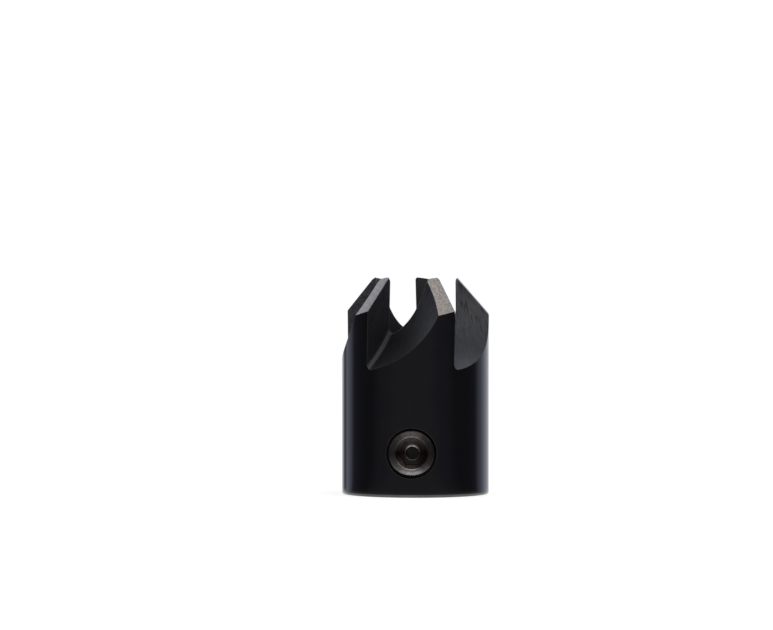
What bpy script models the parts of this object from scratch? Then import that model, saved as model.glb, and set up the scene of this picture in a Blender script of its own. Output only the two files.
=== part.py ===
"""Plug-on drill countersink: a bored steel sleeve with five ground teeth, held on a twist drill by a set screw.

The origin is the centre of the base, the teeth point up, and the set screw faces -Y. Azimuths turn from +X towards +Y.
"""

import math

import bmesh
import bpy
from mathutils import Vector

# Sleeve, in metres.
BODY_RADIUS = 0.0080
BODY_HEIGHT = 0.0236
BORE_RADIUS = 0.0046
BASE_EDGE_BREAK = 0.0003
BORE_EDGE_BREAK = 0.0001

# Teeth: each cuts with its leading edge, which turns counter-clockwise as seen from the tip.
TOOTH_COUNT = 5
FIRST_CORNER_AZIMUTH = math.radians(-54.4)
TIP_FLAT = 0.00005
LAND_HALF_ANGLE = math.radians(42.5)
LAND_RELIEF_TILT = math.radians(6.0)

# Gullets: each is the path of a disc cutter with one flat side, which leaves the rake face, and one conical side.
GULLET_FLOOR_Z = 0.0136
DISC_RADIUS = 0.0158
DISC_CENTRE_REACH = 0.0178
DISC_SIDE_ANGLE = math.radians(4.6)
DISC_LEAN = math.radians(1.5)
DISC_CORNER_RADIUS = 0.0005
RAKE_AHEAD_OF_CENTRE = 0.00045

# Set screw, with its thread left plain.
SCREW_Z = 0.00475
SCREW_RADIUS = 0.0024
SCREW_LENGTH = 0.0040
SCREW_FACE_RECESS = 0.0003
SCREW_FACE_CHAMFER = 0.0003
SCREW_POINT_CHAMFER = 0.0005
THREAD_CLEARANCE = 0.00025
SOCKET_ACROSS_FLATS = 0.0025
SOCKET_DEPTH = 0.0022
SOCKET_MOUTH_CHAMFER = 0.0002

# How finely round shapes are divided.
BODY_STEPS = 120
DISC_STEPS = 120
LAND_DEGREES_PER_STEP = 3.0
SCREW_STEPS = 48
CORNER_STEPS = 4

# How far a cutter runs past what it cuts.
CUT_MARGIN = 0.0010
LAND_SWEEP_BACK = math.radians(40.0)
LAND_SWEEP_AHEAD = math.radians(8.0)
SMOOTH_ANGLE = math.radians(25.0)
MERGE_DISTANCE = 1e-6

TIP_RADIUS = BORE_RADIUS + BORE_EDGE_BREAK + TIP_FLAT
LAND_CORNER_Z = BODY_HEIGHT - (BODY_RADIUS - TIP_RADIUS) / math.tan(LAND_HALF_ANGLE)
TOOTH_PITCH = 2 * math.pi / TOOTH_COUNT


def clear_scene():
    for obj in list(bpy.data.objects):
        bpy.data.objects.remove(obj, do_unlink=True)


def new_collection(name):
    collection = bpy.data.collections.new(name)
    bpy.context.scene.collection.children.link(collection)
    return collection


def steel(name, colour, roughness):
    material = bpy.data.materials.new(name)
    material.use_nodes = True
    shader = material.node_tree.nodes["Principled BSDF"]
    shader.inputs["Base Color"].default_value = (*colour, 1.0)
    shader.inputs["Metallic"].default_value = 1.0
    shader.inputs["Roughness"].default_value = roughness
    return material


def add_object(name, mesh, collection, location=(0, 0, 0), rotation=(0, 0, 0)):
    obj = bpy.data.objects.new(name, mesh)
    obj.location = location
    obj.rotation_euler = rotation
    collection.objects.link(obj)
    return obj


def add_cutter(name, mesh, collection, location=(0, 0, 0), rotation=(0, 0, 0)):
    obj = add_object(name, mesh, collection, location, rotation)
    obj.hide_render = True
    obj.display_type = "WIRE"
    return obj


def profile_mesh(name, points, closed):
    """A line of (radius, height) points in the XZ plane, to be turned about Z."""
    edges = [(i, i + 1) for i in range(len(points) - 1)]
    if closed:
        edges.append((len(points) - 1, 0))
    mesh = bpy.data.meshes.new(name)
    mesh.from_pydata([(radius, 0.0, height) for radius, height in points], edges, [])
    return mesh


def turn(obj, steps):
    """Turns the object's profile once round its own Z axis."""
    screw = obj.modifiers.new("turned", "SCREW")
    screw.axis = "Z"
    screw.angle = 2 * math.pi
    screw.steps = steps
    screw.render_steps = steps
    screw.use_merge_vertices = True
    screw.merge_threshold = MERGE_DISTANCE


def cut(obj, cutter):
    boolean = obj.modifiers.new(cutter.name, "BOOLEAN")
    boolean.operation = "DIFFERENCE"
    boolean.solver = "EXACT"
    boolean.object = cutter


def apply_and_shade(obj, material):
    """Makes the modifiers' result the object's own mesh, smooth where it is round."""
    graph = bpy.context.evaluated_depsgraph_get()
    mesh = bpy.data.meshes.new_from_object(obj.evaluated_get(graph))
    mesh.name = obj.name
    obj.modifiers.clear()
    obj.data = mesh
    mesh.materials.clear()
    mesh.materials.append(material)
    mesh.shade_smooth()
    mesh.set_sharp_from_angle(angle=SMOOTH_ANGLE)


def arc(centre, radius, start, end, steps):
    """Points on an arc round a centre in the profile's plane, both ends included."""
    angles = [start + (end - start) * i / steps for i in range(steps + 1)]
    return [(centre[0] + radius * math.cos(a), centre[1] + radius * math.sin(a)) for a in angles]


def radial(distance, azimuth, height):
    return Vector((distance * math.cos(azimuth), distance * math.sin(azimuth), height))


def sleeve_blank(collection):
    """The bored bar before its teeth are cut."""
    outer_at_base = BODY_RADIUS - BASE_EDGE_BREAK
    profile = [
        (BORE_RADIUS + BORE_EDGE_BREAK, BODY_HEIGHT),
        (BODY_RADIUS, BODY_HEIGHT),
        (BODY_RADIUS, BASE_EDGE_BREAK),
        (outer_at_base, 0.0),
        (BORE_RADIUS + BORE_EDGE_BREAK, 0.0),
        (BORE_RADIUS, BORE_EDGE_BREAK),
        (BORE_RADIUS, BODY_HEIGHT - BORE_EDGE_BREAK),
    ]
    blank = add_object("countersink_body", profile_mesh("sleeve", profile, closed=True), collection)
    turn(blank, BODY_STEPS)
    return blank


def gullet_cutter(number, corner_azimuth, cutters):
    """A disc that stands beside the sleeve, its flat side on the rake face and its axis dipping a little ahead."""
    thickness = BODY_RADIUS + CUT_MARGIN
    slope = math.tan(DISC_SIDE_ANGLE)
    corner_in = DISC_CORNER_RADIUS * (slope + 1 / math.cos(DISC_SIDE_ANGLE))
    corner_centre = (DISC_RADIUS - corner_in, DISC_CORNER_RADIUS)
    corner = arc(corner_centre, DISC_CORNER_RADIUS, DISC_SIDE_ANGLE, -math.pi / 2, CORNER_STEPS)
    profile = [(0.0, thickness), (DISC_RADIUS - slope * thickness, thickness), *corner, (0.0, 0.0)]

    plane_azimuth = corner_azimuth - math.asin(RAKE_AHEAD_OF_CENTRE / BODY_RADIUS)
    drop = math.sqrt(DISC_RADIUS**2 - (DISC_CENTRE_REACH - BODY_RADIUS) ** 2)
    centre_z = GULLET_FLOOR_Z + drop
    centre_ahead = RAKE_AHEAD_OF_CENTRE + (centre_z - LAND_CORNER_Z) * math.tan(DISC_LEAN)
    location = radial(DISC_CENTRE_REACH, plane_azimuth, centre_z)
    location += radial(centre_ahead, plane_azimuth + math.pi / 2, 0.0)
    disc = add_cutter(
        f"gullet_cutter_{number}",
        profile_mesh("gullet_disc", profile, closed=False),
        cutters,
        location,
        (-math.pi / 2 - DISC_LEAN, 0.0, plane_azimuth),
    )
    turn(disc, DISC_STEPS)
    return disc


def land_cutter(number, corner_azimuth, cutters):
    """The sector outside a cone whose apex is on the sleeve's axis, tilted so that the land falls behind its edge."""
    inner = BORE_RADIUS - CUT_MARGIN
    outer = BODY_RADIUS + CUT_MARGIN
    slope = 1 / math.tan(LAND_HALF_ANGLE)
    section = [(inner, -inner * slope), (outer, -outer * slope), (outer, 0.0), (inner, 0.0)]
    sweep = LAND_SWEEP_BACK + LAND_SWEEP_AHEAD
    start = -LAND_SWEEP_BACK

    solid = bmesh.new()
    corners = [
        solid.verts.new((radius * math.cos(start), radius * math.sin(start), height))
        for radius, height in section
    ]
    face = solid.faces.new(corners)
    bmesh.ops.spin(
        solid,
        geom=[face],
        cent=(0.0, 0.0, 0.0),
        axis=(0.0, 0.0, 1.0),
        angle=sweep,
        steps=round(math.degrees(sweep) / LAND_DEGREES_PER_STEP),
    )
    bmesh.ops.recalc_face_normals(solid, faces=solid.faces)
    mesh = bpy.data.meshes.new("land_sector")
    solid.to_mesh(mesh)
    solid.free()

    apex_z = BODY_HEIGHT + TIP_RADIUS * slope
    return add_cutter(
        f"land_cutter_{number}",
        mesh,
        cutters,
        (0.0, 0.0, apex_z),
        (LAND_RELIEF_TILT, 0.0, corner_azimuth),
    )


def cylinder_mesh(name, radius, bottom, top, segments):
    """A cylinder, or a prism with few segments, along Z."""
    solid = bmesh.new()
    bmesh.ops.create_cone(
        solid, cap_ends=True, segments=segments, radius1=radius, radius2=radius, depth=top - bottom
    )
    bmesh.ops.translate(solid, verts=solid.verts, vec=(0.0, 0.0, (top + bottom) / 2))
    mesh = bpy.data.meshes.new(name)
    solid.to_mesh(mesh)
    solid.free()
    return mesh


def screw_hole_cutter(cutters):
    """The radial hole for the set screw, from the front of the sleeve into the bore."""
    mesh = cylinder_mesh(
        "screw_hole",
        SCREW_RADIUS + THREAD_CLEARANCE,
        BORE_RADIUS - CUT_MARGIN,
        BODY_RADIUS + CUT_MARGIN,
        SCREW_STEPS,
    )
    return add_cutter("screw_hole_cutter", mesh, cutters, (0, 0, SCREW_Z), (math.pi / 2, 0, 0))


def countersink_body(collection, cutters):
    body = sleeve_blank(collection)
    for number in range(1, TOOTH_COUNT + 1):
        corner_azimuth = FIRST_CORNER_AZIMUTH + (number - 1) * TOOTH_PITCH
        cut(body, gullet_cutter(number, corner_azimuth, cutters))
        cut(body, land_cutter(number, corner_azimuth, cutters))
    cut(body, screw_hole_cutter(cutters))
    return body


def set_screw(collection, cutters):
    """A headless screw whose outer face is its origin, with a six-sided socket."""
    outer_face_y = -(BODY_RADIUS - SCREW_FACE_RECESS)
    place = (0.0, outer_face_y, SCREW_Z)
    turned_out = (math.pi / 2, 0.0, 0.0)
    profile = [
        (0.0, 0.0),
        (SCREW_RADIUS - SCREW_FACE_CHAMFER, 0.0),
        (SCREW_RADIUS, -SCREW_FACE_CHAMFER),
        (SCREW_RADIUS, -SCREW_LENGTH + SCREW_POINT_CHAMFER),
        (SCREW_RADIUS - SCREW_POINT_CHAMFER, -SCREW_LENGTH),
        (0.0, -SCREW_LENGTH),
    ]
    screw = add_object("set_screw", profile_mesh("screw", profile, closed=False), collection, place, turned_out)
    turn(screw, SCREW_STEPS)

    corner_radius = SOCKET_ACROSS_FLATS / math.sqrt(3)
    socket = cylinder_mesh("socket", corner_radius, -SOCKET_DEPTH, CUT_MARGIN, 6)
    cut(screw, add_cutter("socket_cutter", socket, cutters, place, turned_out))

    mouth_profile = [
        (0.0, CUT_MARGIN),
        (corner_radius + SOCKET_MOUTH_CHAMFER + CUT_MARGIN, CUT_MARGIN),
        (0.0, -corner_radius - SOCKET_MOUTH_CHAMFER),
    ]
    mouth = add_cutter(
        "socket_mouth_cutter",
        profile_mesh("socket_mouth", mouth_profile, closed=False),
        cutters,
        place,
        turned_out,
    )
    turn(mouth, SCREW_STEPS)
    cut(screw, mouth)
    return screw


def main():
    clear_scene()
    parts = new_collection("drill_countersink")
    cutters = new_collection("cutters")
    body = countersink_body(parts, cutters)
    screw = set_screw(parts, cutters)
    bpy.context.view_layer.update()
    apply_and_shade(body, steel("blackened_steel", (0.045, 0.046, 0.050), 0.38))
    apply_and_shade(screw, steel("screw_steel", (0.060, 0.055, 0.052), 0.42))


main()
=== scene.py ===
"""The drill countersink's look: a blackened sleeve with five ground teeth, and its threaded set screw."""
import math

import bmesh
import bpy
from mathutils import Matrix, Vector


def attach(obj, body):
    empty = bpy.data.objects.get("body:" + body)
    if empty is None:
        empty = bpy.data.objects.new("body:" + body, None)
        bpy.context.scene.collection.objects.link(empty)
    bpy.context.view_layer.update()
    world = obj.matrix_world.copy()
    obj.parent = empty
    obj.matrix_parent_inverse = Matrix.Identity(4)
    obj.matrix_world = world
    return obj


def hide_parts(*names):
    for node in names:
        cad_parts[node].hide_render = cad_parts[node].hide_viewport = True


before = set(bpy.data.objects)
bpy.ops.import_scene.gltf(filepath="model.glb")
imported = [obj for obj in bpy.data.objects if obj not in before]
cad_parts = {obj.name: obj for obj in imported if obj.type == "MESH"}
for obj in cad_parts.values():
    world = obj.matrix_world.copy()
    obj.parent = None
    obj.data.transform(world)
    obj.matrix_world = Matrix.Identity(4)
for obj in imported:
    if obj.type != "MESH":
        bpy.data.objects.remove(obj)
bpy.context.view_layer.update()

# Sizes of the sleeve and its teeth, in metres, as in the solids.
BODY_RADIUS = 0.0080
BODY_HEIGHT = 0.0236
BORE_RADIUS = 0.0046
BORE_EDGE_BREAK = 0.0001
TIP_FLAT = 0.00005
TOOTH_COUNT = 5
FIRST_CORNER_AZIMUTH = math.radians(-54.4)
LAND_HALF_ANGLE = math.radians(42.5)
LAND_RELIEF_TILT = math.radians(6.0)
GULLET_FLOOR_Z = 0.0136
DISC_RADIUS = 0.0158
DISC_CENTRE_REACH = 0.0178
DISC_SIDE_ANGLE = math.radians(4.6)
DISC_LEAN = math.radians(1.5)
DISC_CORNER_RADIUS = 0.0005
RAKE_AHEAD_OF_CENTRE = 0.00045
# A second pass on the first rake face, which the photograph shows set back a little.
TRIM_AHEAD = 0.00037
TRIM_LEAN = math.radians(-2.7)
TRIM_THICKNESS = 0.0015
TIP_RADIUS = BORE_RADIUS + BORE_EDGE_BREAK + TIP_FLAT
LAND_CORNER_Z = BODY_HEIGHT - (BODY_RADIUS - TIP_RADIUS) / math.tan(LAND_HALF_ANGLE)
LAND_MIDDLE_RADIUS = 0.006
TOOTH_PITCH = 2 * math.pi / TOOTH_COUNT

# Rounding of the sleeve's own edges, and of the teeth's inner corners beside the bore.
BASE_ROUND = 0.00030
TIP_INNER_ROUND = 0.00034
TIP_LIFT = 0.000045
TIP_CORNER_ROUND = 0.00028
TIP_ZONE_RADIUS = 0.00495
TIP_ZONE_Z = 0.0229
TIP_FADE_RADII = (0.00484, TIP_ZONE_RADIUS - 0.00002)
TIP_FADE_HEIGHT = 0.0005
TIP_END_HEIGHT = 0.0004

# Set screw: an M5 thread of 0.8 mm pitch, with a hexagon socket.
SCREW_Z = 0.00475
SCREW_FACE_Y = -0.0077
SCREW_LENGTH = 0.0040
SCREW_POINT_CHAMFER = 0.0005
SCREW_FACE_PROFILE = (
    (0.00193, 0.0),
    (0.00204, -0.00002),
    (0.00220, -0.00006),
    (0.00236, -0.00011),
    (0.00246, -0.00016),
    (0.00248, -0.00020),
)
THREAD_PITCH = 0.0008
THREAD_CREST = 0.00248
THREAD_ROOT = 0.00203
THREAD_GAP = 0.00006
# The flat crest's and the flat root's shares of the pitch, and the height over which the groove runs out.
THREAD_CREST_SHARE = 0.10
THREAD_ROOT_SHARE = 0.14
THREAD_RUN_OUT = THREAD_PITCH / 8
# Depths and heights along the screw's axis are measured from its face: the full rim's lower end, the end
# that carries painted highlights and shade, the hole and the hole's widened mouth.
SCREW_RIM_Z = -0.00026
SCREW_END_DEPTH = 0.0005
HOLE_DEPTH = 0.0050
HOLE_MOUTH_RADIUS = 0.00271
HOLE_MOUTH_DEPTH = 0.0015
# How far the screw's blank stands past the thread's crest, and how far its edge drops on the way there.
SCREW_BLANK_EXTRA = 0.0001
SCREW_EDGE_DROP = 0.00011
SOCKET_ACROSS_FLATS = 0.0025
SOCKET_WALL_DEPTH = 0.00142
SOCKET_LIP_PROFILE = ((0.00192, 0.0), (0.00184, -0.00002), (0.00176, -0.00006), (0.00170, -0.00013))
SOCKET_MOUTH_SLOPE = math.tan(math.radians(30.0))
SOCKET_FLOOR_TOP = -0.0009
SOCKET_FLOOR_INSET = 0.0001
SOCKET_FLOOR_PROFILE = (
    (0.00125, -0.00142),
    (0.00087, -0.00156),
    (0.00083, -0.00155),
    (0.00076, -0.00153),
    (0.00070, -0.00156),
    (0.00066, -0.00164),
    (0.00066, -0.00222),
)

# How finely the shapes are divided.
BODY_STEPS = 240
DISC_STEPS = 360
LAND_DEGREES_PER_STEP = 1.0
ARC_STEPS = 6
THREAD_STEPS = 72
HOLE_MOUTH_STEPS = 120
SCREW_STEPS = 96
SOCKET_MOUTH_STEPS = 90
SOCKET_FLOOR_STEPS = 72
SMOOTH_ANGLE = math.radians(24.0)
# How far beside a round its supporting ring lies, and how close points may lie before they are merged.
SUPPORT = 0.00008
MERGE_DISTANCE = 4e-6
TOUCH = 0.00001

# How far a cutter runs past what it cuts.
CUT_MARGIN = 0.0010
DISC_THICKNESS = BODY_RADIUS + CUT_MARGIN
LAND_SWEEP_BACK = math.radians(40.0)
LAND_SWEEP_AHEAD = math.radians(8.0)

# The photograph's viewpoint.
CAMERA_AZIMUTH = math.radians(3.6)
CAMERA_ELEVATION = math.radians(0.6)
CAMERA_DISTANCE = 0.40
SENSOR_WIDTH = 36.0
VIEW_WIDTH = 0.084220
VIEW_CENTRE_RIGHT = -0.003150
VIEW_CENTRE_UP = 0.001075
VIEW_CENTRE_Z = 0.0184

# How far the floor is lifted towards white for the camera, and how bright the room is for rough surfaces.
FLOOR_LIFT = 0.72
ROOM = 0.20
FLOOR_HALF = 0.45
FLOOR_CELLS = 24

# What shiny surfaces see around them, by degrees from the viewer towards the right: the white background
# behind the object, and the dimmer room on the viewer's side.
SURROUNDINGS = (
    (-180, (0.96, 0.98, 1.00)),
    (-156, (0.84, 0.86, 0.90)),
    (-145, (0.24, 0.25, 0.28)),
    (-139, (0.22, 0.23, 0.27)),
    (-131, (0.82, 0.84, 1.06)),
    (-120, (0.78, 0.80, 0.98)),
    (-106, (0.22, 0.22, 0.29)),
    (-72, (0.19, 0.19, 0.20)),
    (-46, (0.35, 0.34, 0.37)),
    (-20, (0.43, 0.41, 0.41)),
    (20, (0.43, 0.41, 0.41)),
    (46, (0.33, 0.32, 0.36)),
    (72, (0.19, 0.19, 0.20)),
    (107, (0.19, 0.19, 0.25)),
    (123, (0.62, 0.64, 0.80)),
    (140, (0.86, 0.90, 1.08)),
    (162, (0.82, 0.85, 0.94)),
    (180, (0.96, 0.98, 1.00)),
)
# How far from the axis the floor stops being white to them.
WHITE_NEAR = (0.0105, 0.0165)
# Where on the sleeve's sides the mirrored rays that meet the floor start from.
MIRROR_START = (0.0070, -0.0033)

# Soft panels that face this height on the axis: name, azimuth from the viewer towards the right,
# elevation, distance, width, height, brightness and colour.
PANEL_TARGET_Z = 0.015
PANELS = (
    ("top", math.radians(0), math.radians(88), 0.55, 0.50, 0.50, 0.89, (1.0, 0.968, 0.90)),
    ("right", math.radians(70), math.radians(40), 0.55, 0.44, 0.34, 0.92, (1.0, 1.0, 0.98)),
    ("left", math.radians(-100), math.radians(44), 0.55, 0.30, 0.34, 0.34, (0.95, 0.96, 1.0)),
    ("back_left", math.radians(-142), math.radians(30), 0.60, 0.26, 0.22, 0.60, (0.97, 0.96, 1.0)),
)

# How the grain's third value numbers the gullets' cuts, and the cut that is made paler in speckles: the
# fourth gullet's flat side.
CUT_STEP = 10.0
FLAT_SIDE_STEP = 5.0
SPECKLED_CUT = 3 * CUT_STEP + FLAT_SIDE_STEP
STREAKED_HEIGHTS = (0.0165, 0.0190)
BEVEL_SAMPLES = 6

# The set screw's end, from its lowest point at 0 to its highest at 1.
# Painted highlights on the screw's rim, brightest at the bottom and top, with painted shade at its sides.
RIM_PAINTED_LIGHT_STOPS = (
    (0.0, (0.300, 0.290, 0.286)),
    (0.12, (0.125, 0.121, 0.118)),
    (0.30, (0.060, 0.055, 0.054)),
    (0.5, (0.034, 0.031, 0.031)),
    (0.72, (0.045, 0.041, 0.041)),
    (0.88, (0.078, 0.074, 0.073)),
    (1.0, (0.180, 0.170, 0.166)),
)
# Painted shade in the socket, darkest at its sides, with painted reflections a little lighter at top and
# bottom.
SOCKET_PAINTED_SHADE_STOPS = (
    (0.0, (0.036, 0.030, 0.029)),
    (0.3, (0.024, 0.018, 0.018)),
    (0.5, (0.012, 0.008, 0.008)),
    (0.7, (0.026, 0.020, 0.018)),
    (1.0, (0.046, 0.040, 0.035)),
)
# Painted highlight on the ring in the socket, brightest at its top, with painted shade at its sides.
RING_PAINTED_HIGHLIGHT_STOPS = (
    (0.0, (0.190, 0.185, 0.185)),
    (0.3, (0.100, 0.096, 0.096)),
    (0.5, (0.050, 0.046, 0.046)),
    (0.75, (0.250, 0.240, 0.238)),
    (1.0, (0.740, 0.705, 0.690)),
)


# Node materials.


class Nodes:
    """A node tree, with short calls for the nodes used here."""

    def __init__(self, tree):
        self.tree = tree

    def node(self, kind, **settings):
        made = self.tree.nodes.new(kind)
        for key, value in settings.items():
            setattr(made, key, value)
        return made

    def put(self, value, socket):
        if isinstance(value, bpy.types.NodeSocket):
            self.tree.links.new(value, socket)
        elif value is not None:
            socket.default_value = value

    def math(self, operation, first, second=None, third=None):
        made = self.node("ShaderNodeMath", operation=operation)
        for value, socket in zip((first, second, third), made.inputs):
            self.put(value, socket)
        return made.outputs[0]

    def grain(self):
        """Where a point lies on its cut, in millimetres: across the marks, along them, and a third value.

        That value numbers a gullet's cuts, says how black a land is, and elsewhere is the radius.
        """
        return self.node("ShaderNodeAttribute", attribute_name="grain").outputs["Vector"]

    def position(self):
        return self.node("ShaderNodeTexCoord").outputs["Object"]

    def scaled(self, vector, scale):
        made = self.node("ShaderNodeVectorMath", operation="MULTIPLY")
        self.put(vector, made.inputs[0])
        made.inputs[1].default_value = scale
        return made.outputs[0]

    def part(self, vector, axis):
        made = self.node("ShaderNodeSeparateXYZ")
        self.put(vector, made.inputs[0])
        return made.outputs[axis]

    def noise(self, vector, scale, detail=3.0, roughness=0.55):
        made = self.node("ShaderNodeTexNoise")
        self.put(vector, made.inputs["Vector"])
        made.inputs["Scale"].default_value = scale
        made.inputs["Detail"].default_value = detail
        made.inputs["Roughness"].default_value = roughness
        return made.outputs["Fac"]

    def remap(self, value, low, high, to_low, to_high):
        made = self.node("ShaderNodeMapRange", clamp=True)
        self.put(value, made.inputs["Value"])
        limits = {"From Min": low, "From Max": high, "To Min": to_low, "To Max": to_high}
        for name, number in limits.items():
            made.inputs[name].default_value = number
        return made.outputs[0]

    def mix(self, factor, first, second):
        made = self.node("ShaderNodeMix", data_type="RGBA")
        self.put(factor, made.inputs[0])
        for value, socket in ((first, made.inputs[6]), (second, made.inputs[7])):
            self.put((*value, 1.0) if isinstance(value, tuple) else value, socket)
        return made.outputs[2]

    def rounded(self, radius):
        """The surface's normal, rounded at the edges."""
        made = self.node("ShaderNodeBevel", samples=BEVEL_SAMPLES)
        made.inputs["Radius"].default_value = radius
        return made.outputs[0]

    def edges(self, radius, low, high):
        """Near 1 on the outer edges of a shape and 0 on its faces."""
        dot = self.node("ShaderNodeVectorMath", operation="DOT_PRODUCT")
        self.put(self.rounded(radius), dot.inputs[0])
        self.put(self.node("ShaderNodeNewGeometry").outputs["Normal"], dot.inputs[1])
        return self.remap(dot.outputs["Value"], low, high, 1.0, 0.0)

    def bump(self, height, strength, distance, normal):
        made = self.node("ShaderNodeBump")
        made.inputs["Strength"].default_value = strength
        made.inputs["Distance"].default_value = distance
        self.put(height, made.inputs["Height"])
        self.put(normal, made.inputs["Normal"])
        return made.outputs[0]

    def ramp(self, value, stops):
        made = self.node("ShaderNodeValToRGB")
        made.color_ramp.interpolation = "EASE"
        marks = made.color_ramp.elements
        while len(marks) < len(stops):
            marks.new(0.5)
        for mark, (place, colour) in zip(marks, stops):
            mark.position = place
            mark.color = (*colour, 1.0)
        self.put(value, made.inputs[0])
        return made.outputs[0]

    def surroundings(self, place):
        """The colour that shiny surfaces see in the direction of a place or a ray."""
        nearer = self.math("MULTIPLY", self.part(place, "Y"), -1.0)
        angle = self.math("ARCTAN2", self.part(place, "X"), nearer)
        stops = [(degrees / 360 + 0.5, colour) for degrees, colour in SURROUNDINGS]
        return self.ramp(self.math("MULTIPLY_ADD", angle, 1 / (2 * math.pi), 0.5), stops)

    def ray(self, *kinds):
        """1 for rays of these kinds."""
        path = self.node("ShaderNodeLightPath")
        total = path.outputs[kinds[0]]
        for kind in kinds[1:]:
            total = self.math("ADD", total, path.outputs[kind])
        return total


class Surface(Nodes):
    """A new material's node tree."""

    def __init__(self, name, metallic):
        self.material = bpy.data.materials.new(name)
        self.material.use_nodes = True
        super().__init__(self.material.node_tree)
        self.shader = self.tree.nodes["Principled BSDF"]
        self.shader.inputs["Metallic"].default_value = metallic

    def finish(self, colour, roughness, normal):
        self.put(colour, self.shader.inputs["Base Color"])
        self.put(roughness, self.shader.inputs["Roughness"])
        self.put(normal, self.shader.inputs["Normal"])
        return self.material


def black_oxide(
    name, cool, warm, worn, roughness, mark_scale, marks, relief, edge_wear_and_highlight, metallic=1.0, streaks=0.0
):
    """Blackened steel in two shades. Tool marks run along the grain; edges show wear and a painted
    highlight.
    """
    m = Surface(name, metallic)
    blotch = m.noise(m.position(), 420.0, 3.0, 0.6)
    colour = m.mix(m.remap(blotch, 0.35, 0.65, 0.0, 1.0), cool, warm)
    lines = m.noise(m.scaled(m.grain(), mark_scale), 1.0, 4.0, 0.6)
    colour = m.mix(m.remap(lines, 0.52, 0.78, 0.0, marks), colour, worn)
    if streaks:
        colour = milled_streaks(m, colour, cool, worn, streaks)
        colour = speckled_cut(m, colour, worn)
    fleck = m.noise(m.position(), 9000.0, 2.0, 0.5)
    patchy = m.remap(fleck, 0.30, 0.62, 0.35 * edge_wear_and_highlight, edge_wear_and_highlight)
    # Worn black on the edges, and also a painted highlight along them.
    colour = m.mix(m.math("MULTIPLY", m.edges(0.00012, 0.80, 0.985), patchy), colour, worn)
    rough = m.math("MULTIPLY_ADD", lines, 0.10, roughness - 0.05)
    normal = m.bump(lines, relief, 0.000004, m.rounded(0.00007))
    normal = m.bump(fleck, 0.5 * relief, 0.000002, normal)
    return m.finish(colour, rough, normal)


def milled_streaks(m, colour, dark, worn, strength):
    """Torn streaks, strongest near the tips and on the first gullet's curve, and pale patches."""
    upper = m.remap(m.part(m.position(), "Z"), *STREAKED_HEIGHTS, 0.15 * strength, strength)
    upper = m.math("MULTIPLY", upper, m.remap(m.part(m.grain(), "Z"), 0.0, 4.0, 1.0, 0.40))
    torn = m.noise(m.scaled(m.grain(), (5.6, 0.58, 3.0)), 1.0, 2.5, 0.55)
    bright = m.math("MULTIPLY", m.remap(torn, 0.42, 0.35, 0.0, 0.16), upper)
    colour = m.mix(bright, colour, worn)
    black = m.math("MULTIPLY", m.remap(torn, 0.56, 0.61, 0.0, 1.0), upper)
    colour = m.mix(black, colour, tuple(0.20 * c for c in dark))
    patch = m.noise(m.scaled(m.grain(), (2.4, 1.3, 2.0)), 1.0, 3.0, 0.6)
    return m.mix(m.remap(patch, 0.38, 0.66, 0.0, 0.10), colour, worn)


def speckled_cut(m, colour, worn):
    """The one cut that is made paler in speckles."""
    speckles = m.remap(m.noise(m.position(), 3200.0, 3.0, 0.6), 0.40, 0.62, 0.12, 0.75)
    here = m.math("COMPARE", m.part(m.grain(), "Z"), SPECKLED_CUT, 1.0)
    return m.mix(m.math("MULTIPLY", here, speckles), colour, worn)


def ground_steel(name):
    """Bare steel on the lands, with mottled grinding marks, and black on the tips' corners."""
    m = Surface(name, 1.0)
    mottle = m.noise(m.scaled(m.grain(), (4.2, 3.4, 0.0)), 1.0, 4.0, 0.68)
    fine = m.noise(m.scaled(m.grain(), (11.0, 6.0, 0.0)), 1.0, 3.0, 0.6)
    tint = m.noise(m.scaled(m.grain(), (1.3, 1.1, 0.0)), 1.0, 2.0, 0.5)
    pale = m.mix(m.remap(tint, 0.40, 0.60, 0.0, 1.0), (0.345, 0.338, 0.300), (0.385, 0.356, 0.350))
    colour = m.mix(m.remap(mottle, 0.41, 0.58, 0.0, 1.0), (0.240, 0.224, 0.212), pale)
    colour = m.mix(m.remap(fine, 0.54, 0.66, 0.0, 0.55), colour, (0.135, 0.112, 0.108))
    black = m.remap(m.part(m.grain(), "Z"), 0.25, 0.60, 0.0, 1.0)
    colour = m.mix(black, colour, (0.030, 0.030, 0.033))
    rough = m.math("MULTIPLY_ADD", mottle, 0.20, 0.32)
    normal = m.bump(mottle, 0.45, 0.00001, m.rounded(0.00004))
    normal = m.bump(fine, 0.45, 0.000006, normal)
    return m.finish(colour, rough, normal)


def steel_with_painted_light(name, painted_light_stops, roughness):
    """The screw's end: painted highlights and shade by height round its axis, and painted shade on its
    right.
    """
    m = Surface(name, 1.0)
    outward = m.node("ShaderNodeVectorMath", operation="NORMALIZE")
    m.put(m.scaled(m.position(), (1.0, 1.0, 0.0)), outward.inputs[0])
    # Colour by height round the axis: painted highlights at the top and bottom, painted shade at the sides.
    height = m.math("MULTIPLY_ADD", m.part(outward.outputs[0], "Y"), 0.5, 0.5)
    spots = m.noise(m.position(), 4200.0, 3.0, 0.6)
    speckles = m.remap(spots, 0.34, 0.64, 0.72, 1.22)
    # Painted shade: the right side is darkened.
    right = m.remap(m.part(outward.outputs[0], "X"), 0.2, 0.7, 1.0, 0.70)
    colour = m.node("ShaderNodeVectorMath", operation="SCALE")
    m.put(m.ramp(height, painted_light_stops), colour.inputs[0])
    m.put(m.math("MULTIPLY", speckles, right), colour.inputs["Scale"])
    rough = m.math("MULTIPLY_ADD", spots, 0.12, roughness - 0.06)
    return m.finish(colour.outputs[0], rough, m.bump(spots, 0.3, 0.000005, m.rounded(0.00005)))


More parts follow.
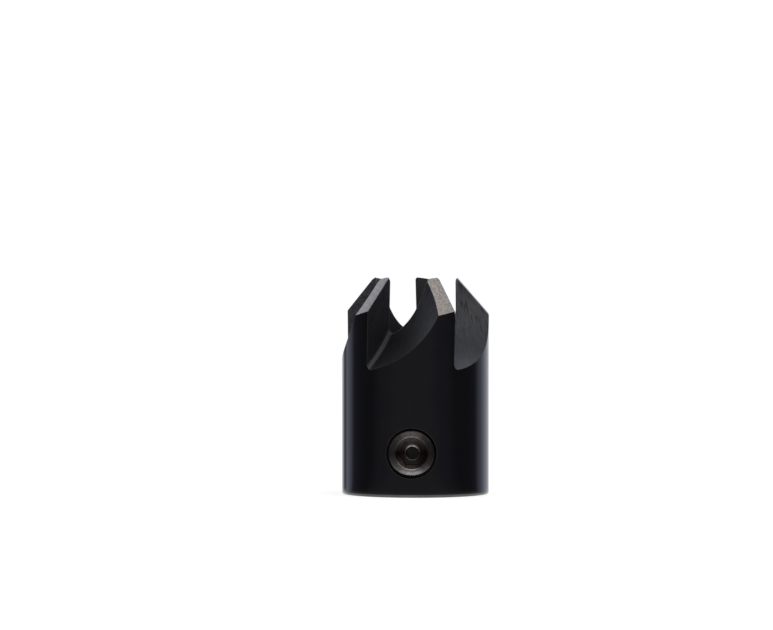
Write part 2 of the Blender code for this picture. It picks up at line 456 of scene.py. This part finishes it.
def pale_floor(name):
    """White paper. The camera sees it lifted to white, with the object's shadow left on it."""
    m = Surface(name, 0.0)
    speck = m.noise(m.position(), 900.0, 3.0, 0.5)
    m.put(m.mix(speck, (0.80, 0.80, 0.80), (0.84, 0.84, 0.84)), m.shader.inputs["Base Color"])
    m.shader.inputs["Roughness"].default_value = 0.9
    m.shader.inputs["Specular IOR Level"].default_value = 0.0
    m.shader.inputs["Emission Color"].default_value = (1.0, 1.0, 1.0, 1.0)
    m.put(m.math("MULTIPLY", m.ray("Is Camera Ray"), FLOOR_LIFT), m.shader.inputs["Emission Strength"])
    away = m.node("ShaderNodeVectorMath", operation="LENGTH")
    m.put(m.position(), away.inputs[0])
    near = m.remap(away.outputs["Value"], *WHITE_NEAR, 1.0, 0.0)
    mirrored = m.node("ShaderNodeEmission")
    m.put(m.mix(near, m.surroundings(from_sleeve(m)), (1.0, 1.0, 1.0)), mirrored.inputs["Color"])
    mixed = m.node("ShaderNodeMixShader")
    m.put(m.ray("Is Glossy Ray", "Is Transmission Ray"), mixed.inputs["Fac"])
    m.put(m.shader.outputs[0], mixed.inputs[1])
    m.put(mirrored.outputs[0], mixed.inputs[2])
    m.put(mixed.outputs[0], m.tree.nodes["Material Output"].inputs["Surface"])
    return m.material


def from_sleeve(m):
    """A floor point's place, measured from where the sleeve's side mirrors it."""
    right = m.part(m.position(), "X")
    past = m.math("MAXIMUM", m.math("SUBTRACT", m.math("ABSOLUTE", right), MIRROR_START[0]), 0.0)
    place = m.node("ShaderNodeCombineXYZ")
    m.put(m.math("MULTIPLY", past, m.math("SIGN", right)), place.inputs["X"])
    m.put(m.math("SUBTRACT", m.part(m.position(), "Y"), MIRROR_START[1]), place.inputs["Y"])
    return place.outputs[0]


# Shapes.


def add_object(name, mesh, location=(0, 0, 0), rotation=(0, 0, 0)):
    obj = bpy.data.objects.new(name, mesh)
    obj.location = location
    obj.rotation_euler = rotation
    bpy.context.scene.collection.objects.link(obj)
    return obj


def arc(centre, radius, start, end):
    angles = [start + (end - start) * i / ARC_STEPS for i in range(ARC_STEPS + 1)]
    return [(centre[0] + radius * math.cos(a), centre[1] + radius * math.sin(a)) for a in angles]


def radial(distance, azimuth, height):
    return Vector((distance * math.cos(azimuth), distance * math.sin(azimuth), height))


def to_mesh(solid, name):
    bmesh.ops.recalc_face_normals(solid, faces=solid.faces)
    mesh = bpy.data.meshes.new(name)
    solid.to_mesh(mesh)
    solid.free()
    return mesh


def turned(name, profile, steps, closed=False):
    """A solid of revolution about Z from (radius, height) points. An open profile ends on the axis."""
    solid = bmesh.new()
    rings = []
    for radius, height in profile:
        azimuths = [2 * math.pi * i / steps for i in range(steps)] if radius > 0.0 else [0.0]
        rings.append([solid.verts.new(radial(radius, azimuth, height)) for azimuth in azimuths])
    pairs = list(zip(rings, rings[1:]))
    if closed:
        pairs.append((rings[-1], rings[0]))
    for upper, lower in pairs:
        for i in range(steps):
            j = (i + 1) % steps
            corners = [ring[k % len(ring)] for ring, k in ((upper, i), (lower, i), (lower, j), (upper, j))]
            unique = list(dict.fromkeys(corners))
            if len(unique) > 2:
                solid.faces.new(unique)
    return to_mesh(solid, name)


def prism(name, radius, bottom, top, sides):
    return turned(name, [(0.0, top), (radius, top), (radius, bottom), (0.0, bottom)], sides)


def threaded_rod(name, crest, root, bottom, top, full_above=math.inf):
    """A right-hand thread along Z, its crest at height 0 on the +X side. It runs out into a full rim."""

    def place(radius, share, height):
        height += share * THREAD_PITCH
        groove = (crest - root) * max(0.0, full_above - height) / THREAD_RUN_OUT
        return radial(max(radius, crest - groove), 2 * math.pi * share, height)

    flat = THREAD_CREST_SHARE * THREAD_PITCH
    flank = (THREAD_PITCH - flat - THREAD_ROOT_SHARE * THREAD_PITCH) / 2
    shape = [
        (-flat / 2, crest),
        (flat / 2, crest),
        (flat / 2 + 0.5 * flank, (crest + root) / 2),
        (flat / 2 + flank, root),
        (THREAD_PITCH - flat / 2 - flank, root),
        (THREAD_PITCH - flat / 2 - 0.5 * flank, (crest + root) / 2),
    ]
    first = math.floor(bottom / THREAD_PITCH) - 2
    last = math.ceil(top / THREAD_PITCH) + 2
    points = [(turn * THREAD_PITCH + z, radius) for turn in range(first, last) for z, radius in shape]
    per_turn = len(shape)
    solid = bmesh.new()
    columns = []
    for i in range(THREAD_STEPS):
        share = i / THREAD_STEPS
        columns.append([solid.verts.new(place(radius, share, z)) for z, radius in points])
    for i in range(THREAD_STEPS):
        near = columns[i]
        far = columns[(i + 1) % THREAD_STEPS]
        shift = per_turn if i == THREAD_STEPS - 1 else 0
        for j in range(len(points) - 1):
            if j + 1 + shift < len(points):
                solid.faces.new([near[j], far[j + shift], far[j + 1 + shift], near[j + 1]])
    low = solid.verts.new((0.0, 0.0, points[0][0]))
    high = solid.verts.new((0.0, 0.0, points[-1][0] + THREAD_PITCH))
    bottom_loop = [c[0] for c in columns] + [columns[0][j] for j in range(per_turn, 0, -1)]
    top_loop = [c[-1] for c in columns[:-1]]
    top_loop += [columns[-1][j] for j in range(len(points) - 1, len(points) - 1 - per_turn, -1)]
    top_loop += [columns[-1][len(points) - 1 - per_turn]]
    for loop, end in ((bottom_loop, low), (top_loop, high)):
        unique = list(dict.fromkeys(loop))
        for a, b in zip(unique, unique[1:] + unique[:1]):
            solid.faces.new([a, b, end])
    return to_mesh(solid, name)


def cut(obj, cutter, operation="DIFFERENCE"):
    boolean = obj.modifiers.new(cutter.name, "BOOLEAN")
    boolean.operation = operation
    boolean.solver = "EXACT"
    boolean.material_mode = "TRANSFER"
    boolean.object = cutter


def applied(obj):
    """Makes the modifiers' result the object's own mesh."""
    graph = bpy.context.evaluated_depsgraph_get()
    mesh = bpy.data.meshes.new_from_object(obj.evaluated_get(graph))
    mesh.name = obj.name
    obj.modifiers.clear()
    obj.data = mesh
    return obj


def with_material(obj, material):
    obj.data.materials.clear()
    obj.data.materials.append(material)
    return obj


def gullet_disc(
    number, corner_azimuth, ahead=RAKE_AHEAD_OF_CENTRE, lean=DISC_LEAN, thickness=DISC_THICKNESS
):
    """A disc cutter beside the sleeve. Its flat side leaves the rake face, and its axis dips ahead."""
    slope = math.tan(DISC_SIDE_ANGLE)
    corner_in = DISC_CORNER_RADIUS * (slope + 1 / math.cos(DISC_SIDE_ANGLE))
    corner_centre = (DISC_RADIUS - corner_in, DISC_CORNER_RADIUS)
    corner = arc(corner_centre, DISC_CORNER_RADIUS, DISC_SIDE_ANGLE, -math.pi / 2)
    beside = 2 * DISC_CORNER_RADIUS
    profile = [(0.0, thickness), (DISC_RADIUS - slope * thickness, thickness)]
    profile += [(DISC_RADIUS - slope * beside, beside), *corner, (DISC_RADIUS - beside, 0.0), (0.0, 0.0)]
    plane_azimuth = corner_azimuth - math.asin(RAKE_AHEAD_OF_CENTRE / BODY_RADIUS)
    drop = math.sqrt(DISC_RADIUS**2 - (DISC_CENTRE_REACH - BODY_RADIUS) ** 2)
    centre_z = GULLET_FLOOR_Z + drop
    centre_ahead = ahead + (centre_z - LAND_CORNER_Z) * math.tan(lean)
    location = radial(DISC_CENTRE_REACH, plane_azimuth, centre_z)
    location += radial(centre_ahead, plane_azimuth + math.pi / 2, 0.0)
    mesh = turned("disc", profile, DISC_STEPS)
    return add_object(f"gullet_disc_{number}", mesh, location, (-math.pi / 2 - lean, 0.0, plane_azimuth))


def land_sector(number, corner_azimuth):
    """The sector outside a cone about the sleeve's axis, tilted so that the land falls behind its edge."""
    inner = BORE_RADIUS - CUT_MARGIN
    outer = BODY_RADIUS + CUT_MARGIN
    slope = 1 / math.tan(LAND_HALF_ANGLE)
    section = [(r, -r * slope) for r in (inner, TIP_ZONE_RADIUS, outer)]
    section += [(outer, 0.0), (inner, 0.0)]
    sweep = LAND_SWEEP_BACK + LAND_SWEEP_AHEAD
    solid = bmesh.new()
    face = solid.faces.new([solid.verts.new(radial(r, -LAND_SWEEP_BACK, z)) for r, z in section])
    steps = round(math.degrees(sweep) / LAND_DEGREES_PER_STEP)
    bmesh.ops.spin(solid, geom=[face], cent=(0, 0, 0), axis=(0, 0, 1), angle=sweep, steps=steps)
    mesh = to_mesh(solid, "land")
    apex = (0.0, 0.0, BODY_HEIGHT + TIP_RADIUS * slope)
    return add_object(f"land_sector_{number}", mesh, apex, (LAND_RELIEF_TILT, 0.0, corner_azimuth))


def sleeve_blank():
    base = BASE_ROUND
    tip = TIP_INNER_ROUND
    top = BODY_HEIGHT + TIP_LIFT
    edge = BORE_EDGE_BREAK
    profile = [
        (BORE_RADIUS, top - tip - SUPPORT),
        *arc((BORE_RADIUS + tip, top - tip), tip, math.pi, math.pi / 2),
        (BODY_RADIUS, top),
        (BODY_RADIUS, base + SUPPORT),
        *arc((BODY_RADIUS - base, base), base, 0.0, -math.pi / 2),
        *arc((BORE_RADIUS + edge, edge), edge, -math.pi / 2, -math.pi),
        (BORE_RADIUS, edge + SUPPORT),
    ]
    return add_object("sleeve", turned("sleeve", profile, BODY_STEPS, closed=True))


def on_screw_axis(name, mesh):
    """Adds a mesh made along Z, with its height 0 at the screw's face and its top towards the outside."""
    return add_object(name, mesh, (0.0, SCREW_FACE_Y, SCREW_Z), (math.pi / 2, 0.0, 0.0))


def build_sleeve(looks):
    sleeve = with_material(sleeve_blank(), looks["turned"])
    cutters = []
    for number in range(1, TOOTH_COUNT + 1):
        azimuth = FIRST_CORNER_AZIMUTH + (number - 1) * TOOTH_PITCH
        cutters.append(with_material(gullet_disc(number, azimuth), looks["gullet"]))
        cutters.append(with_material(land_sector(number, azimuth), looks["land"]))
    trim = gullet_disc(TOOTH_COUNT + 1, FIRST_CORNER_AZIMUTH, TRIM_AHEAD, TRIM_LEAN, TRIM_THICKNESS)
    cutters.append(with_material(trim, looks["gullet"]))
    past = 2 * CUT_MARGIN
    hole = threaded_rod("hole", THREAD_CREST + THREAD_GAP, THREAD_ROOT + THREAD_GAP, -HOLE_DEPTH, past)
    cutters.append(with_material(on_screw_axis("tapped_hole", hole), looks["thread"]))
    mouth = prism("mouth", HOLE_MOUTH_RADIUS, -HOLE_MOUTH_DEPTH, past, HOLE_MOUTH_STEPS)
    cutters.append(with_material(on_screw_axis("hole_mouth", mouth), looks["thread"]))
    for cutter in cutters:
        cut(sleeve, cutter)
    applied(sleeve)
    discs = [c.matrix_world.inverted() for c in cutters if c.name.startswith("gullet_disc")]
    for cutter in cutters:
        bpy.data.objects.remove(cutter, do_unlink=True)
    return sleeve, discs


def socket_mouth():
    lip = SOCKET_LIP_PROFILE
    bottom = lip[-1][1] - lip[-1][0] * SOCKET_MOUTH_SLOPE
    top = [(0.0, CUT_MARGIN), (lip[0][0] + 0.1 * CUT_MARGIN, CUT_MARGIN)]
    return turned("mouth", [*top, *lip, (0.0, bottom)], SOCKET_MOUTH_STEPS)


def socket_hexagon():
    return prism("socket", SOCKET_ACROSS_FLATS / math.sqrt(3), -SOCKET_WALL_DEPTH, CUT_MARGIN, 6)


def socket_floor():
    """The coned floor of the socket, the raised ring on it and the pilot hole in the ring."""
    edge = SOCKET_FLOOR_PROFILE[0][0] - SOCKET_FLOOR_INSET
    top = [(0.0, SOCKET_FLOOR_TOP), (edge, SOCKET_FLOOR_TOP)]
    bottom = (0.0, SOCKET_FLOOR_PROFILE[-1][1])
    return turned("floor", [*top, *SOCKET_FLOOR_PROFILE, bottom], SOCKET_FLOOR_STEPS)


def screw_blank():
    crest = THREAD_CREST + SCREW_BLANK_EXTRA
    profile = [
        (0.0, 0.0),
        *SCREW_FACE_PROFILE,
        (crest, SCREW_FACE_PROFILE[-1][1] - SCREW_EDGE_DROP),
        (crest, -SCREW_LENGTH + SCREW_POINT_CHAMFER + SCREW_BLANK_EXTRA),
        (THREAD_CREST - SCREW_POINT_CHAMFER, -SCREW_LENGTH),
        (0.0, -SCREW_LENGTH),
    ]
    return on_screw_axis("threaded_set_screw", turned("screw", profile, SCREW_STEPS))


def build_screw(looks):
    screw = with_material(screw_blank(), looks["screw"])
    bottom = -SCREW_LENGTH - CUT_MARGIN
    thread = threaded_rod("rod", THREAD_CREST, THREAD_ROOT, bottom, CUT_MARGIN, SCREW_RIM_Z)
    tools = [
        ("mouth", socket_mouth(), "DIFFERENCE"),
        ("socket", socket_hexagon(), "DIFFERENCE"),
        ("floor", socket_floor(), "DIFFERENCE"),
        ("rod", thread, "INTERSECT"),
    ]
    cutters = []
    for name, mesh, operation in tools:
        cutter = with_material(on_screw_axis(name, mesh), looks["screw"])
        cutters.append(cutter)
        cut(screw, cutter, operation)
    applied(screw)
    for cutter in cutters:
        bpy.data.objects.remove(cutter, do_unlink=True)
    paint_screw(screw.data, looks)
    return screw


def paint_screw(mesh, looks):
    """Gives the screw's rim, socket, ring and pilot hole their own looks; rim, socket and ring carry
    painted light.
    """
    order = ("screw", "rim", "socket", "ring", "thread")
    mesh.materials.clear()
    for look in order:
        mesh.materials.append(looks[look])
    lip_radius = SOCKET_LIP_PROFILE[-1][0]
    floor_edge, ring_edge = SOCKET_FLOOR_PROFILE[:2]
    ring_foot, pilot_end = SOCKET_FLOOR_PROFILE[-2:]
    for face in mesh.polygons:
        r = math.hypot(face.center.x, face.center.y)
        z = face.center.z
        look = "screw"
        if ring_foot[0] < r < ring_edge[0] and ring_foot[1] < z < floor_edge[1]:
            look = "ring"
        elif r < pilot_end[0] + TOUCH and z > pilot_end[1] - TOUCH:
            look = "thread"
        elif r < lip_radius - TOUCH and z > pilot_end[1] - TOUCH:
            look = "socket"
        elif z > -SCREW_END_DEPTH:
            look = "rim"
        face.material_index = order.index(look)


def clean(obj):
    solid = bmesh.new()
    solid.from_mesh(obj.data)
    bmesh.ops.remove_doubles(solid, verts=solid.verts, dist=MERGE_DISTANCE)
    bmesh.ops.dissolve_degenerate(solid, edges=solid.edges, dist=MERGE_DISTANCE / 2)
    solid.to_mesh(obj.data)
    solid.free()


def repaint(sleeve, look, chosen):
    """Gives the turned faces that are chosen a surface of their own."""
    mesh = sleeve.data
    mesh.materials.append(look)
    for face in mesh.polygons:
        turned_face = mesh.materials[face.material_index].name == "turned_oxide"
        r = math.hypot(face.center.x, face.center.y)
        if turned_face and chosen(r, face.center.z, face.normal.z):
            face.material_index = len(mesh.materials) - 1


def in_bore(r, height, facing_up):
    return r < BORE_RADIUS + TOUCH


# The base's rounding that faces down, which gets rubbed black and a painted highlight.
def on_base_round(r, height, facing_up):
    return r > BODY_RADIUS - BASE_ROUND and height < BASE_ROUND and -0.97 < facing_up < -0.1


def smooth_step(value, low, high):
    share = min(1.0, max(0.0, (value - low) / (high - low)))
    return share * share * (3.0 - 2.0 * share)


def round_tips(sleeve):
    """Rounds both corners of each tooth beside the bore. Returns how black the vertices there stay."""
    mesh = sleeve.data
    near = {}
    for vertex in mesh.vertices:
        r = math.hypot(vertex.co.x, vertex.co.y)
        if vertex.co.z > TIP_ZONE_Z and r < TIP_ZONE_RADIUS + TOUCH:
            turn = math.atan2(vertex.co.y, vertex.co.x) - FIRST_CORNER_AZIMUTH
            number = math.floor(-turn / TOOTH_PITCH + 0.5 + 1e-6) % TOOTH_COUNT
            near[vertex.index] = (number, r)

    def behind(co, number):
        turn = FIRST_CORNER_AZIMUTH - number * TOOTH_PITCH - math.atan2(co.y, co.x)
        return (turn + math.pi) % (2 * math.pi) - math.pi

    ends = {}
    for index, (number, r) in near.items():
        co = mesh.vertices[index].co
        if co.z > TIP_ZONE_Z + TIP_END_HEIGHT:
            ends.setdefault(number, []).append(behind(co, number) * BORE_RADIUS)
    inset = {}
    for index, (number, r) in near.items():
        place = behind(mesh.vertices[index].co, number) * BORE_RADIUS
        inset[index] = max(0.0, min(place - min(ends[number]), max(ends[number]) - place))
    rho = TIP_CORNER_ROUND
    black = {}
    for index, distance in inset.items():
        if distance < rho:
            co = mesh.vertices[index].co
            inner = 1.0 - smooth_step(near[index][1], *TIP_FADE_RADII)
            black[index] = inner * (1.0 - distance / rho)
            drop = rho - math.sqrt(rho**2 - (rho - distance) ** 2)
            co.z -= drop * inner * smooth_step(co.z, TIP_ZONE_Z, TIP_ZONE_Z + TIP_FADE_HEIGHT)
    return black


def shade(obj):
    obj.data.shade_smooth()
    obj.data.set_sharp_from_angle(angle=SMOOTH_ANGLE)


def nearest_cut(discs, point):
    """Which gullet disc left a point, and whether its flat side did."""
    local = [disc @ point for disc in discs]
    side = [abs(p.z) for p in local]
    rim = [abs(math.hypot(p.x, p.y) + p.z * math.tan(DISC_SIDE_ANGLE) - DISC_RADIUS) for p in local]
    off = [min(pair) for pair in zip(side, rim)]
    number = off.index(min(off))
    return number, side[number] <= rim[number]


def write_grain(obj, discs, black):
    """Stores each face corner's place on its cut in millimetres, for the tool marks."""
    mesh = obj.data
    names = [m.name for m in mesh.materials]
    layer = mesh.attributes.new("grain", "FLOAT_VECTOR", "CORNER")
    grain = []
    for face in mesh.polygons:
        kind = names[face.material_index]
        if kind == "milled_gullet":
            number, on_side = nearest_cut(discs, face.center)
        for loop in face.loop_indices:
            index = mesh.loops[loop].vertex_index
            point = mesh.vertices[index].co
            r = 1000 * math.hypot(point.x, point.y)
            azimuth = math.atan2(point.y, point.x)
            if kind == "milled_gullet":
                p = 1000 * (discs[number] @ point)
                along = math.atan2(p.y, p.x) * 1000 * DISC_RADIUS
                grain += (math.hypot(p.x, p.y) + p.z, along, number * CUT_STEP + on_side * FLAT_SIDE_STEP)
            elif kind == "ground_land":
                grain += (r, azimuth * 1000 * LAND_MIDDLE_RADIUS, black.get(index, 0.0))
            else:
                grain += (1000 * point.z, azimuth * 1000 * BODY_RADIUS, r)
    layer.data.foreach_set("vector", grain)


# The camera, the light and the floor.


def place_camera():
    towards = Vector(
        (
            math.sin(CAMERA_AZIMUTH) * math.cos(CAMERA_ELEVATION),
            -math.cos(CAMERA_AZIMUTH) * math.cos(CAMERA_ELEVATION),
            math.sin(CAMERA_ELEVATION),
        )
    )
    right = Vector((math.cos(CAMERA_AZIMUTH), math.sin(CAMERA_AZIMUTH), 0.0))
    up = towards.cross(right)
    middle = Vector((0.0, 0.0, VIEW_CENTRE_Z)) + right * VIEW_CENTRE_RIGHT + up * VIEW_CENTRE_UP
    data = bpy.data.cameras.new("camera")
    data.sensor_width = SENSOR_WIDTH
    data.lens = SENSOR_WIDTH * CAMERA_DISTANCE / VIEW_WIDTH
    data.clip_start = 0.01
    data.clip_end = 50.0
    camera = bpy.data.objects.new("camera", data)
    camera.location = middle + towards * CAMERA_DISTANCE
    camera.rotation_euler = (-towards).to_track_quat("-Z", "Y").to_euler()
    bpy.context.scene.collection.objects.link(camera)
    bpy.context.scene.camera = camera


def add_panel(name, centre, target, width, height, radiance, colour):
    """A soft lamp, whose power gives its face this radiance."""
    data = bpy.data.lights.new(name, "AREA")
    data.shape = "RECTANGLE"
    data.size = width
    data.size_y = height
    data.energy = radiance * width * height * math.pi
    data.color = colour
    lamp = bpy.data.objects.new(name, data)
    lamp.location = centre
    lamp.rotation_euler = (target - centre).to_track_quat("-Z", "Y").to_euler()
    lamp.visible_camera = False
    bpy.context.scene.collection.objects.link(lamp)


def place_light():
    world = bpy.data.worlds.new("studio")
    bpy.context.scene.world = world
    world.use_nodes = True
    w = Nodes(world.node_tree)
    seen = w.surroundings(w.node("ShaderNodeTexCoord").outputs["Generated"])
    seen = w.mix(w.ray("Is Glossy Ray", "Is Transmission Ray"), (ROOM, ROOM, ROOM), seen)
    seen = w.mix(w.ray("Is Camera Ray"), seen, (1.0, 1.0, 1.0))
    w.put(seen, w.tree.nodes["Background"].inputs["Color"])

    target = Vector((0.0, 0.0, PANEL_TARGET_Z))
    for name, azimuth, elevation, distance, width, height, radiance, colour in PANELS:
        rise = distance * math.sin(elevation)
        centre = target + radial(distance * math.cos(elevation), azimuth - math.pi / 2, rise)
        add_panel(name, centre, target, width, height, radiance, colour)


def place_floor():
    solid = bmesh.new()
    bmesh.ops.create_grid(solid, x_segments=FLOOR_CELLS, y_segments=FLOOR_CELLS, size=FLOOR_HALF)
    floor = add_object("floor", to_mesh(solid, "floor"))
    with_material(floor, pale_floor("white_paper"))


def make_looks():
    return {
        "turned": black_oxide(
            "turned_oxide",
            cool=(0.0215, 0.0225, 0.0265), warm=(0.0245, 0.0235, 0.0250), worn=(0.16, 0.16, 0.16),
            roughness=0.10, mark_scale=(24.0, 0.25, 0.0), marks=0.02, relief=0.06, edge_wear_and_highlight=0.50,
        ),
        "bore": black_oxide(
            "bored_oxide",
            cool=(0.060, 0.060, 0.070), warm=(0.072, 0.070, 0.078), worn=(0.16, 0.16, 0.16),
            roughness=0.52, mark_scale=(9.0, 0.4, 0.0), marks=0.10, relief=0.30, edge_wear_and_highlight=0.30, metallic=0.8,
        ),
        "gullet": black_oxide(
            "milled_gullet",
            cool=(0.043, 0.0455, 0.0535), warm=(0.050, 0.050, 0.053), worn=(0.13, 0.13, 0.135),
            roughness=0.36, mark_scale=(5.5, 0.35, 1.7), marks=0.20, relief=0.35, edge_wear_and_highlight=0.85,
            metallic=0.72, streaks=0.85,
        ),
        # Rubbed black on the base's downward rounding, and a painted highlight there.
        "base": black_oxide(
            "rubbed_base_and_highlight",
            cool=(0.085, 0.084, 0.087), warm=(0.110, 0.107, 0.108), worn=(0.20, 0.20, 0.20),
            roughness=0.20, mark_scale=(24.0, 0.25, 0.0), marks=0.10, relief=0.10, edge_wear_and_highlight=0.40,
        ),
        "thread": black_oxide(
            "tapped_thread",
            cool=(0.018, 0.018, 0.019), warm=(0.024, 0.022, 0.022), worn=(0.14, 0.13, 0.13),
            roughness=0.36, mark_scale=(6.0, 0.4, 0.3), marks=0.10, relief=0.30, edge_wear_and_highlight=0.25,
        ),
        "screw": black_oxide(
            "screw_oxide",
            cool=(0.056, 0.048, 0.048), warm=(0.066, 0.057, 0.055), worn=(0.17, 0.155, 0.15),
            roughness=0.30, mark_scale=(7.0, 0.5, 0.3), marks=0.10, relief=0.25, edge_wear_and_highlight=0.50,
        ),
        # The screw's rim, socket and ring: painted highlights and painted shade by height.
        "rim": steel_with_painted_light("rim_painted_light", RIM_PAINTED_LIGHT_STOPS, 0.26),
        "socket": steel_with_painted_light("socket_painted_shade", SOCKET_PAINTED_SHADE_STOPS, 0.34),
        "ring": steel_with_painted_light("ring_painted_highlight", RING_PAINTED_HIGHLIGHT_STOPS, 0.26),
        "land": ground_steel("ground_land"),
    }


def main():
    looks = make_looks()
    sleeve, discs = build_sleeve(looks)
    sleeve.name = "toothed_sleeve"
    screw = build_screw(looks)
    for piece, node, body, slot in (
        (sleeve, "countersink_body", "countersink", "blackened_steel"),
        (screw, "set_screw", "set_screw", "screw_steel"),
    ):
        clean(piece)
        black = {}
        if piece is sleeve:
            black = round_tips(sleeve)
            repaint(sleeve, looks["bore"], in_bore)
            repaint(sleeve, looks["base"], on_base_round)
        shade(piece)
        write_grain(piece, discs, black)
        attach(piece, body)
        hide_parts(node)
        print(piece.name, len(piece.data.polygons), "faces")
    place_camera()
    place_light()
    place_floor()
    bpy.context.scene.view_settings.view_transform = "Standard"


main()
